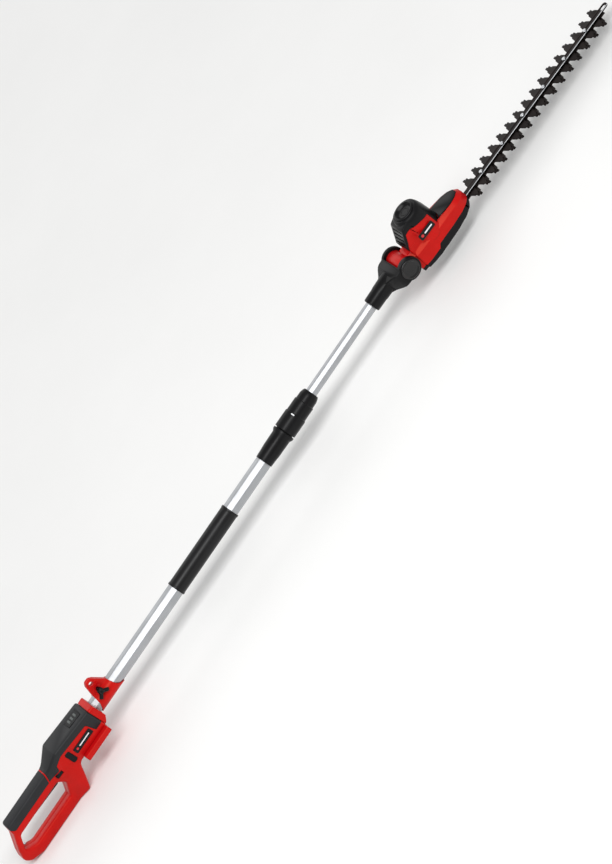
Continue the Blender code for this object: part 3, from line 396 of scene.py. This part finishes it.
class Cage:
    """A mesh in the making, drawn in millimetres in its sub-assembly's own frame."""

    def __init__(self) -> None:
        """Start with nothing."""
        self.mesh = bmesh.new()

    def slab(
        self, corners: Sequence[Point], low: float, high: float, plane: Matrix, rounding: float = 0.0
    ) -> "Cage":
        """Extrude a flat outline between two depths, and round its edges.

        Args:
            corners: the outline.
            low: the depth it starts at.
            high: the depth it ends at.
            plane: which way the outline faces.
            rounding: radius of its edges.

        Returns:
            The cage, for a further step.
        """
        verts = [self.mesh.verts.new(plane @ Vector((u, v, low))) for u, v in corners]
        face = self.mesh.faces.new(verts)
        raised = bmesh.ops.extrude_face_region(self.mesh, geom=[face])["geom"]
        moved = [item for item in raised if isinstance(item, bmesh.types.BMVert)]
        bmesh.ops.translate(self.mesh, verts=moved, vec=plane.to_3x3() @ Vector((0, 0, high - low)))
        bmesh.ops.recalc_face_normals(self.mesh, faces=self.mesh.faces)
        if rounding:
            around = {edge for vert in verts + moved for edge in vert.link_edges}
            self.round_edges(rounding, lambda edge: edge in around)
        return self

    def round_edges(
        self, radius: float, wanted: Callable[[bmesh.types.BMEdge], bool], sharp_deg: float = 30.0
    ) -> "Cage":
        """Round the wanted edges where their faces meet at more than an angle.

        Args:
            radius: radius of the rounding.
            wanted: says of an edge whether it is to be rounded.
            sharp_deg: edges flatter than this stay as they are.

        Returns:
            The cage, for a further step.
        """
        edges = [
            edge
            for edge in self.mesh.edges
            if len(edge.link_faces) == 2
            and edge.calc_face_angle() > math.radians(sharp_deg)
            and wanted(edge)
        ]
        bmesh.ops.bevel(
            self.mesh,
            geom=edges,
            offset=radius,
            offset_type="OFFSET",
            affect="EDGES",
            segments=3,
            profile=0.5,
            material=-1,
            clamp_overlap=True,
        )
        return self

    def turned(self, profile: Sequence[Point], axis: str, centre: Spot, segments: int) -> "Cage":
        """Spin a profile of (radius, height) points once about an axis through a centre.

        Args:
            profile: an open profile whose ends lie on the axis, or a closed ring.
            axis: Y or Z.
            centre: a point on the axis, from which heights count.
            segments: steps in the full turn.

        Returns:
            The cage, for a further step.
        """
        turn = {"Y": Matrix.Rotation(-math.pi / 2, 4, "X"), "Z": Matrix.Identity(4)}[axis]
        place = Matrix.Translation(centre) @ turn
        verts = [self.mesh.verts.new(place @ Vector((radius, 0, height))) for radius, height in profile]
        edges = [self.mesh.edges.new(pair) for pair in zip(verts, verts[1:])]
        if profile[0][0] > 0:
            edges.append(self.mesh.edges.new((verts[-1], verts[0])))
        bmesh.ops.spin(
            self.mesh,
            geom=verts + edges,
            cent=place.translation,
            axis=place.to_3x3() @ Vector((0, 0, 1)),
            angle=2 * math.pi,
            steps=segments,
            use_merge=True,
        )
        bmesh.ops.remove_doubles(self.mesh, verts=self.mesh.verts, dist=0.0005)
        bmesh.ops.recalc_face_normals(self.mesh, faces=self.mesh.faces)
        return self

    def coil(self, winding: Winding, steps: int = 24, sides: int = 10) -> "Cage":
        """Wind round wire along a straight axis.

        Args:
            winding: the coil's size.
            steps: steps in each turn.
            sides: corners of the wire's section.

        Returns:
            The cage, for a further step.
        """
        start = Vector(winding.fixed)
        axis = Vector(winding.moving) - start
        place = Matrix.Translation(start) @ axis.to_track_quat("Z", "Y").to_matrix().to_4x4()
        count = int(winding.turns * steps)
        rise = Vector((0, 0, 1))
        rings = []
        for step in range(count + 1):
            angle = 2 * math.pi * step / steps
            out = Vector((math.cos(angle), math.sin(angle), 0))
            core = out * winding.radius + rise * (axis.length * step / count)
            bends = [2 * math.pi * side / sides for side in range(sides)]
            spots = [core + winding.wire * (math.cos(bend) * out + math.sin(bend) * rise) for bend in bends]
            rings.append([self.mesh.verts.new(place @ spot) for spot in spots])
        for ring, following in zip(rings, rings[1:]):
            for side in range(sides):
                beside = (side + 1) % sides
                self.mesh.faces.new((ring[side], ring[beside], following[beside], following[side]))
        self.mesh.faces.new(rings[0])
        self.mesh.faces.new(rings[-1])
        bmesh.ops.recalc_face_normals(self.mesh, faces=self.mesh.faces)
        return self

    def rotated(self, angle_deg: float, axis: str) -> "Cage":
        """Turn everything in the cage about one of the frame's own axes."""
        turn = Matrix.Rotation(math.radians(angle_deg), 3, axis)
        bmesh.ops.rotate(self.mesh, cent=(0, 0, 0), matrix=turn, verts=self.mesh.verts)
        return self

    def finished(self, name: str, place: Matrix, smooth_deg: float) -> bpy.types.Object:
        """Turn the cage into an object at the origin, in metres.

        Args:
            name: the object's name.
            place: the sub-assembly's frame.
            smooth_deg: edges flatter than this are shaded smooth.

        Returns:
            The object, linked to the scene.
        """
        self.mesh.transform(place @ Matrix.Scale(MM, 4))
        bmesh.ops.recalc_face_normals(self.mesh, faces=self.mesh.faces)
        data = bpy.data.meshes.new(name)
        self.mesh.to_mesh(data)
        self.mesh.free()
        data.shade_smooth()
        data.set_sharp_from_angle(angle=math.radians(smooth_deg))
        piece = bpy.data.objects.new(name, data)
        bpy.context.scene.collection.objects.link(piece)
        return piece


def pill(low_u: float, high_u: float, low_v: float, high_v: float, radius: float) -> List[Point]:
    """Draw a rectangle with round corners.

    Args:
        low_u: its left side.
        high_u: its right side.
        low_v: its foot.
        high_v: its top.
        radius: radius of its corners.

    Returns:
        Its outline, from the right side round to the foot.
    """
    left, right = low_u + radius, high_u - radius
    foot, top = low_v + radius, high_v - radius
    steps = 6
    points: List[Point] = []
    for corner, (u, v) in enumerate([(right, top), (left, top), (left, foot), (right, foot)]):
        for step in range(steps + 1):
            angle = math.pi / 2 * (corner + step / steps)
            points.append((u + radius * math.cos(angle), v + radius * math.sin(angle)))
    return points


def smoothing_group() -> bpy.types.NodeTree:
    """Make the node group that shades a CAD node smooth except at its sharp edges."""
    known = bpy.data.node_groups.get("smooth_by_angle")
    if known:
        return known
    group = bpy.data.node_groups.new("smooth_by_angle", "GeometryNodeTree")
    group.interface.new_socket("Geometry", in_out="INPUT", socket_type="NodeSocketGeometry")
    group.interface.new_socket("Angle", in_out="INPUT", socket_type="NodeSocketFloat")
    group.interface.new_socket("Geometry", in_out="OUTPUT", socket_type="NodeSocketGeometry")
    given = add_node(group, "NodeGroupInput", {})
    plain = add_node(
        group, "GeometryNodeRemoveAttribute", {"Geometry": given.outputs[0], "Name": "custom_normal"}
    )
    soft = add_node(group, "GeometryNodeSetShadeSmooth", {0: plain.outputs[0], 2: True}, domain="FACE")
    bend = add_node(group, "GeometryNodeInputMeshEdgeAngle", {})
    sharp = add_node(
        group,
        "FunctionNodeCompare",
        {0: bend.outputs["Unsigned Angle"], 1: given.outputs[1]},
        data_type="FLOAT",
        operation="GREATER_THAN",
    )
    edges = {0: soft.outputs[0], 1: sharp.outputs[0], 2: False}
    hard = add_node(group, "GeometryNodeSetShadeSmooth", edges, domain="EDGE")
    add_node(group, "NodeGroupOutput", {0: hard.outputs[0]})
    return group


class SubAssembly:
    """What every sub-assembly shares: dressing its CAD nodes and adding its finer pieces."""

    place: Matrix = POLE

    def dress(
        self,
        names: Sequence[str],
        finish: Finish,
        rounding: float = 0.0,
        smooth_deg: float = 38.0,
        level: bool = False,
    ) -> None:
        """Give CAD nodes their finish, rounded edges and smooth shading.

        Args:
            names: the CAD nodes.
            finish: the finish they share.
            rounding: radius given to their sharp edges.
            smooth_deg: edges flatter than this are shaded smooth.
            level: keep the shading of large faces flat, and bend it in the rounded edges alone.
        """
        group = smoothing_group()
        angle_input = group.interface.items_tree["Angle"].identifier
        for name in names:
            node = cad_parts[name]
            node.data.materials.clear()
            node.data.materials.append(finish.build())
            weld = node.modifiers.new("weld", "WELD")
            weld.merge_threshold = WELD_REACH
            if rounding:
                flats = node.modifiers.new("flats", "DECIMATE")
                flats.decimate_type = "DISSOLVE"
                flats.angle_limit = math.radians(FLATNESS_DEG)
                bevel = node.modifiers.new("rounding", "BEVEL")
                bevel.width = rounding * MM
                bevel.segments = 2
                bevel.limit_method = "ANGLE"
                bevel.angle_limit = math.radians(smooth_deg)
                bevel.use_clamp_overlap = False
            smooth = node.modifiers.new("smooth", "NODES")
            smooth.node_group = group
            smooth[angle_input] = math.radians(smooth_deg)
            if level:
                flat_faces = node.modifiers.new("flat_faces", "WEIGHTED_NORMAL")
                flat_faces.keep_sharp = True
            LOG.info("dressed %s in %s", name, finish.name)

    def add(
        self,
        name: str,
        cage: Cage,
        finish: Finish,
        body: Body,
        slot: Slot,
        stands_for: Sequence[str] = (),
        smooth_deg: float = 35.0,
    ) -> bpy.types.Object:
        """Finish a new piece and make it ride on its body.

        Args:
            name: the piece's name.
            cage: its mesh, in this sub-assembly's frame.
            finish: its finish.
            body: the body it moves with.
            slot: the record's slot its finish belongs to; not used.
            stands_for: CAD nodes it is shown in place of.
            smooth_deg: edges flatter than this are shaded smooth.

        Returns:
            The piece.
        """
        piece = cage.finished(name, self.place, smooth_deg)
        piece.data.materials.append(finish.build())
        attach(piece, body.value)
        if stands_for:
            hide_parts(*stands_for)
        LOG.info("added %s to %s", name, body.value)
        return piece

    def add_print(self, name: str, outline: Sequence[Point], face: float, finish: Finish, body: Body) -> None:
        """Print a mark on a plate of the labelled side.

        Args:
            name: the mark's name.
            outline: its outline.
            face: where the plate's face lies.
            finish: the ink.
            body: the body it moves with.
        """
        mark = Cage().slab(outline, face - INK_RISE, face + INK_ROOT, SIDE, INK_ROUNDING)
        self.add(name, mark, finish, body, Slot.LABEL)

    def add_spring(self, node: str, winding: Winding, body: Body, joint: str, keep: float) -> None:
        """Wind a spring in place of a CAD spring.

        Args:
            node: the CAD spring it is shown in place of.
            winding: its size, in this sub-assembly's frame.
            body: the body it rests on.
            joint: the joint that presses it; not used.
            keep: the share of its length left at the joint's limit; not used.
        """
        coil = Cage().coil(winding)
        spring = self.add(node + "_fine", coil, Finishes.SPRING, body, Slot.STEEL, (node,), 60)
        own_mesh(spring)


@dataclass
class Handle(SubAssembly):
    """The loop handle with its grip, cover, controls, battery dock and electronics."""

    label_station: float = 239.5
    label_height: float = -3.1
    label_face: float = -27.0
    lamp_stations: Tuple[float, ...] = (252.0, 260.0, 268.0)
    lamp_half_length: float = 2.2
    lamp_half_width: float = 6.5
    panel_start: float = 244.0
    roof_fall: float = 6.5 / 97
    contact_stations: Point = (236.3, 247.0)
    contact_heights: Point = (-33.4, -30.0)
    contact_sides: Tuple[float, ...] = (-9.0, -3.0, 3.0, 9.0)
    contact_half_thickness: float = 0.4
    trigger_winding: Winding = Winding(
        radius=3.5, wire=0.6, turns=4, fixed=(76, 0, 7.9), moving=(76, 0, -7.3)
    )
    trigger_spring_keep: float = 0.68

    def build(self) -> None:
        """Dress the handle and add its printed marks, lamps and contacts."""
        self.dress(["handle_shell_right", "handle_shell_left"], Finishes.RED, 0.35, 42)
        self.dress(["front_collar", "battery_dock"], Finishes.RED, 0.6, 38, level=True)
        self.dress(["housing_cover"], Finishes.BLACK_ERODED, 0.35, 60)
        self.dress(["grip_overmould"], Finishes.GRIP, 0.35, 60)
        self.dress(["indicator_panel", "side_cap", "trigger", "lock_off_button"], Finishes.BLACK)
        self.dress(["switch_module", "battery_terminals"], Finishes.BLACK, 0.4)
        self.dress(["label_plate_handle"], Finishes.LABEL, 0.15)
        self.dress([f"shell_screw_{k}" for k in range(1, 5)] + ["trigger_pin"], Finishes.STEEL)
        self.add_spring(
            "trigger_spring", self.trigger_winding, Body.HANDLE, "trigger_press", self.trigger_spring_keep
        )
        self.dress(["control_board"], Finishes.BOARD)
        self.add_label()
        self.add_lamps()
        self.add_contacts()

    def add_lamps(self) -> None:
        """Set three charge lamps into the indicator panel."""
        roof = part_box("indicator_panel")
        rear_top = roof[1].z / MM - POLE.translation.z / MM
        length, width = self.lamp_half_length, self.lamp_half_width
        for number, at in enumerate(self.lamp_stations, start=1):
            top = rear_top - self.roof_fall * (at - self.panel_start)
            outline = pill(at - length, at + length, -width, width, length - 0.1)
            lens = Cage().slab(outline, top - 0.4, top + 0.3, PLAN, 0.2)
            self.add(f"charge_lamp_{number}", lens, Finishes.LENS, Body.HANDLE, Slot.LABEL)

    def add_contacts(self) -> None:
        """Stand four contact blades in the battery dock's channel."""
        cage = Cage()
        outline = pill(*self.contact_stations, *self.contact_heights, 0.9)
        half = self.contact_half_thickness
        for side in self.contact_sides:
            cage.slab(outline, side - half, side + half, SIDE, 0.15)
        self.add("battery_contacts", cage, Finishes.CONTACT, Body.HANDLE, Slot.STEEL)

    def add_label(self) -> None:
        """Print a plain dot and stripe on the label plate."""
        centre, height = self.label_station, self.label_height
        dot = pill(centre - 19.5, centre - 14.5, height - 2.5, height + 2.5, 2.45)
        self.add_print("label_dot_handle", dot, self.label_face, Finishes.RED_INK, Body.HANDLE)
        stripe = pill(centre - 11, centre + 18, height - 1.2, height + 1.2, 1.1)
        self.add_print("label_stripe_handle", stripe, self.label_face, Finishes.WHITE_INK_AND_HIGHLIGHT, Body.HANDLE)


@dataclass
class Pole(SubAssembly):
    """The two octagonal tubes, their sleeve, bush and lead."""

    lead_winding: Winding = Winding(radius=6.2, wire=1.5, turns=9, fixed=(296, 0, 0), moving=(413, 0, 0))

    def build(self) -> None:
        """Dress the tubes and what is in and on them."""
        self.dress(["lower_tube", "upper_tube"], Finishes.ALUMINIUM, 0.7, 30)
        self.dress(["guide_bush"], Finishes.BLACK, 0.3, 30)
        self.dress(["pole_grip"], Finishes.SLEEVE, 0.4, 30)
        self.dress(["lead_straight"], Finishes.LEAD, 0.0, 60)
        coil = Cage().coil(self.lead_winding)
        self.add("lead_coil_fine", coil, Finishes.LEAD, Body.HANDLE, Slot.LEAD, ("lead_coil",), 60)


@dataclass
class StrapClamp(SubAssembly):
    """The red split clamp that carries the shoulder strap's eyelet."""

    station: float = 331.0
    eyelet_height: float = 37.2
    bolt_height: float = 21.0
    ear_face: float = 4.5
    lip_profile: Tuple[Point, ...] = (
        (4.8, 0.3),
        (5.2, 1.0),
        (6.6, 1.0),
        (7.2, 0.3),
        (7.2, -0.6),
        (4.8, -0.6),
    )
    rib_stations: Point = (319.5, 343.5)
    rib_heights: Point = (28.8, 30.4)
    insert_profile: Tuple[Point, ...] = (
        (0, -22.3),
        (2.6, -22.3),
        (3.4, -22.9),
        (4.2, -22.9),
        (4.6, -22.4),
        (4.6, -21.8),
        (0, -21.8),
    )

    def build(self) -> None:
        """Dress the clamp, its bolt and its wing knob, and add its lips, rib and insert."""
        self.dress(["strap_clamp_left", "strap_clamp_right"], Finishes.RED, 0.5, 32)
        self.dress(["strap_bolt"], Finishes.STEEL)
        self.dress(["wing_knob"], Finishes.BLACK, 1.1, 35)
        for side, word in ((-1.0, "right"), (1.0, "left")):
            lip = [(radius, side * (self.ear_face + out)) for radius, out in self.lip_profile]
            ring = Cage().turned(lip, "Y", (self.station, 0, self.eyelet_height), 48)
            self.add(f"eyelet_lip_{word}", ring, Finishes.RED, Body.STRAP_CLAMP, Slot.RED)
        outline = pill(*self.rib_stations, *self.rib_heights, 0.7)
        rib = Cage().slab(outline, -self.ear_face - 0.9, -self.ear_face + 0.2, SIDE, 0.3)
        self.add("ear_rib", rib, Finishes.RED, Body.STRAP_CLAMP, Slot.RED)
        insert = Cage().turned(self.insert_profile, "Y", (self.station, 0, self.bolt_height), 40)
        self.add("knob_insert", insert, Finishes.BLACK_GLOSS, Body.WING_KNOB, Slot.BLACK)


@dataclass
class TelescopeClamp(SubAssembly):
    """The twist clamp between the tubes."""

    # Where the pale bar that paints the highlight on the nut's step lies.
    highlight_stations: Point = (930.6, 933.0)
    highlight_half_width: float = 3.4
    highlight_radius: float = 21.0
    highlight_turn_deg: float = 41.5

    def build(self) -> None:
        """Dress the clamp and lay a pale bar on the nut: a painted highlight of its step."""
        self.dress(["clamp_body", "clamp_collet"], Finishes.BLACK, 0.3, 30)
        self.dress(["clamp_nut"], Finishes.BLACK, 0.3, 35)
        # A pale bar on the nut's step, in white: a painted highlight.
        start, end = self.highlight_stations
        outline = pill(start, end, -self.highlight_half_width, self.highlight_half_width, 0.8)
        mark = Cage().slab(outline, self.highlight_radius - 0.6, self.highlight_radius + 0.15, PLAN, 0.15)
        mark.rotated(self.highlight_turn_deg, "X")
        self.add("nut_painted_highlight", mark, Finishes.WHITE_INK_AND_HIGHLIGHT, Body.CLAMP_NUT, Slot.LABEL)


@dataclass
class Knuckle(SubAssembly):
    """The tilting joint: a black fork with round cheeks, and the head's red barrel between them."""

    button_radius: float = 19.5
    dish_radius: float = 15.2
    button_foot: float = 33.0
    button_lip: float = 36.6
    spring_radius: float = 12.0
    spring_wire: float = 0.5
    spring_turns: float = 2.0
    spring_reach: Point = (29.7, 32.3)
    spring_keep: float = 0.2

    def build(self) -> None:
        """Dress the fork, springs and axle, and turn finer, dished buttons."""
        self.dress(["knuckle_fork"], Finishes.BLACK, 0.5, 38)
        self.add_button("lock_button_right", -1.0, Body.BUTTON_RIGHT)
        self.add_button("lock_button_left", 1.0, Body.BUTTON_LEFT)
        x, y, z = (middle("pivot_axle") - POLE.translation) / MM
        foot, head = self.spring_reach
        for word, side in (("right", -1.0), ("left", 1.0)):
            winding = Winding(
                self.spring_radius,
                self.spring_wire,
                self.spring_turns,
                (x, y + side * foot, z),
                (x, y + side * head, z),
            )
            joint = f"lock_button_{word}_press"
            self.add_spring(f"button_spring_{word}", winding, Body.UPPER_POLE, joint, self.spring_keep)
        self.dress(["pivot_axle"], Finishes.STEEL, 0.3)

    def add_button(self, node: str, side: float, body: Body) -> None:
        """Turn one dished button with a polished lip.

        Args:
            node: the CAD button it is shown in place of.
            side: -1 on the labelled side, 1 on the other.
            body: the body it moves with.
        """
        lip, dish = self.button_lip, self.dish_radius
        half = [
            (0, self.button_foot),
            (self.button_radius, self.button_foot),
            (self.button_radius, lip - 1.6),
            (self.button_radius - 0.3, lip - 1.0),
            (self.button_radius - 1.2, lip - 0.2),
            (self.button_radius - 1.8, lip),
            (dish + 1.6, lip),
            (dish + 1.1, lip - 0.2),
            (dish - 0.9, lip - 2.0),
            (dish - 1.6, lip - 2.3),
            (0, lip - 2.1),
        ]
        centre = (middle("pivot_axle") - POLE.translation) / MM
        button = Cage().turned([(r, side * out) for r, out in half], "Y", tuple(centre), 96)
        self.add(node + "_fine", button, Finishes.BLACK_GLOSS, body, Slot.BLACK, (node,))


@dataclass
class CutterHead(SubAssembly):
    """The cutter head's shells, motor and drive."""

    place: Matrix = HEAD
    label_box: Tuple[float, float, float, float] = (53.0, 91.0, 14.0, 28.0)
    label_face: float = -34.4
    motor_x: float = 76.0
    cap_profile: Tuple[Point, ...] = (
        (0, 60.4),
        (7.0, 60.4),
        (7.4, 60.9),
        (8.4, 60.9),
        (8.8, 60.4),
        (13.2, 60.6),
        (15.4, 62.4),
        (17.0, 64.8),
        (18.0, 65.6),
        (19.2, 65.6),
        (21.0, 64.6),
        (22.0, 63.0),
        (22.0, 57.3),
        (0, 57.3),
    )

    def build(self) -> None:
        """Dress the head and add its cap and printed marks."""
        self.dress(["head_shell_right", "head_shell_left"], Finishes.RED, 0.5, 30, level=True)
        self.dress(["knuckle_barrel"], Finishes.RED, 0.6, 38)
        self.dress(["motor_cover", "bottom_cover"], Finishes.BLACK, 0.5, 38)
        self.dress(["top_inlay"], Finishes.BLACK, 0.4, 35)
        self.dress(["label_plate_head"], Finishes.LABEL, 0.15)
        self.dress(["motor", "motor_pinion", "drive_gear", "gear_axle"], Finishes.STEEL, 0.15)
        self.add_cap()
        self.add_label()

    def add_cap(self) -> None:
        """Turn the motor's dished cap, with a shallow ring in its floor."""
        cap = Cage().turned(self.cap_profile, "Z", (self.motor_x, 0, 0), 96)
        self.add("motor_cap_fine", cap, Finishes.BLACK, Body.HEAD, Slot.BLACK, ("motor_cap",))

    def add_label(self) -> None:
        """Print a plain dot and stripe on the label plate."""
        left, right, foot, top = self.label_box
        level = (foot + top) / 2
        dot = pill(left + 4, left + 10, level - 3, level + 3, 2.95)
        self.add_print("label_dot_head", dot, self.label_face, Finishes.RED_INK, Body.HEAD)
        stripe = pill(left + 13, right - 4, level - 1.5, level + 1.5, 1.4)
        self.add_print("label_stripe_head", stripe, self.label_face, Finishes.WHITE_INK_AND_HIGHLIGHT, Body.HEAD)


@dataclass
class CutterBar(SubAssembly):
    """The guide bar with its two reciprocating blades and screws."""

    place: Matrix = HEAD
    bar_top: float = -21.8
    bar_half_width: float = 6.7
    bright_width: float = 1.7
    bright_ends: Point = (166.0, 594.0)

    def build(self) -> None:
        """Dress the bar and the blades, and lay a bright metal strip along the bar's near edge."""
        self.dress(["guide_bar"], Finishes.BLADE, 0.3, 30)
        self.dress(["blade_upper", "blade_lower"], Finishes.BLADE, 0.25, 30)
        self.dress([f"bar_screw_{k}" for k in range(1, 7)], Finishes.STEEL, 0.25, 30)
        start, end = self.bright_ends
        edge = -self.bar_half_width
        outline = pill(start, end, edge, edge + self.bright_width, 0.4)
        strip = Cage().slab(outline, self.bar_top, self.bar_top + 0.25, PLAN)
        self.add("bar_bright_edge", strip, Finishes.BRIGHT_STRIP, Body.HEAD, Slot.BLADE)


@dataclass(frozen=True)
class Softbox:
    """A softbox that faces the object.

    Args:
        name: the light's name.
        direction: from the object's middle towards the light.
        size: its width along the pole and its height, in metres.
        power: its power in watts.
    """

    name: str
    direction: Spot
    size: Point
    power: float


@dataclass
class Studio:
    """The floor, the lights and the camera, with sizes in metres."""

    floor_half_width: float = 9.0
    softboxes: Tuple[Softbox, ...] = (
        Softbox("front_softbox", (0.0, -0.56, 0.83), (3.6, 0.8), 62.0),
        Softbox("rear_softbox", (0.0, 0.83, 0.56), (3.6, 1.2), 14.0),
    )
    softbox_distance: float = 3.0
    world_strength: float = 0.58
    camera_elevation_deg: float = 34.0
    camera_roll_deg: float = 55.4
    camera_distance: float = 10.74
    camera_lens_mm: float = 250.0
    camera_reach: float = 60.0
    target_x: float = -0.01055
    target_rise: float = -0.032

    def build(self) -> None:
        """Set the studio up."""
        self.add_floor()
        self.add_lights()
        self.add_camera()

    def add_floor(self) -> None:
        """Lay a pale floor under the object."""
        cage = bmesh.new()
        bmesh.ops.create_grid(cage, x_segments=2, y_segments=2, size=self.floor_half_width)
        data = bpy.data.meshes.new("floor")
        cage.to_mesh(data)
        cage.free()
        floor = bpy.data.objects.new("floor", data)
        floor.data.materials.append(Finishes.FLOOR.build())
        bpy.context.scene.collection.objects.link(floor)

    def add_softbox(self, box: Softbox) -> None:
        """Hang a softbox so that it faces the object."""
        light = bpy.data.lights.new(box.name, "AREA")
        light.shape = "RECTANGLE"
        light.size, light.size_y = box.size
        light.energy = box.power
        lamp = bpy.data.objects.new(box.name, light)
        towards = Vector(box.direction).normalized()
        lamp.location = towards * self.softbox_distance
        lamp.rotation_euler = towards.to_track_quat("Z", "Y").to_euler()
        bpy.context.scene.collection.objects.link(lamp)

    def add_lights(self) -> None:
        """Light the object from above and in front, from behind, and evenly all round."""
        world = bpy.data.worlds.new("studio")
        world.use_nodes = True
        background = world.node_tree.nodes["Background"]
        background.inputs["Color"].default_value = linear("#FFFFFF")
        background.inputs["Strength"].default_value = self.world_strength
        bpy.context.scene.world = world
        for box in self.softboxes:
            self.add_softbox(box)
        bpy.context.scene.view_settings.view_transform = "Standard"

    def add_camera(self) -> None:
        """Look down on the labelled side from far away, with the pole slanting up to the right."""
        elevation = math.radians(self.camera_elevation_deg)
        roll = math.radians(self.camera_roll_deg)
        back = Vector((0, -math.cos(elevation), math.sin(elevation)))
        rise = Vector((0, math.sin(elevation), math.cos(elevation)))
        along = Vector((1, 0, 0))
        right = math.cos(roll) * along - math.sin(roll) * rise
        up = math.sin(roll) * along + math.cos(roll) * rise
        target = Vector((self.target_x, 0, POLE.translation.z)) + rise * self.target_rise
        turn = Matrix((right, up, back)).transposed().to_4x4()
        lens = bpy.data.cameras.new("camera")
        lens.lens = self.camera_lens_mm
        lens.clip_end = self.camera_reach
        camera = bpy.data.objects.new("camera", lens)
        camera.matrix_world = Matrix.Translation(target + back * self.camera_distance) @ turn
        bpy.context.scene.collection.objects.link(camera)
        bpy.context.scene.camera = camera


def main() -> None:
    """Dress the frame, add the finer pieces, and set up the studio."""
    logging.basicConfig(level=logging.INFO, format="%(name)s: %(message)s")
    machine = (Handle(), Pole(), StrapClamp(), TelescopeClamp(), Knuckle(), CutterHead(), CutterBar())
    for sub_assembly in machine:
        sub_assembly.build()
    Studio().build()


if __name__ == "__main__":
    main()
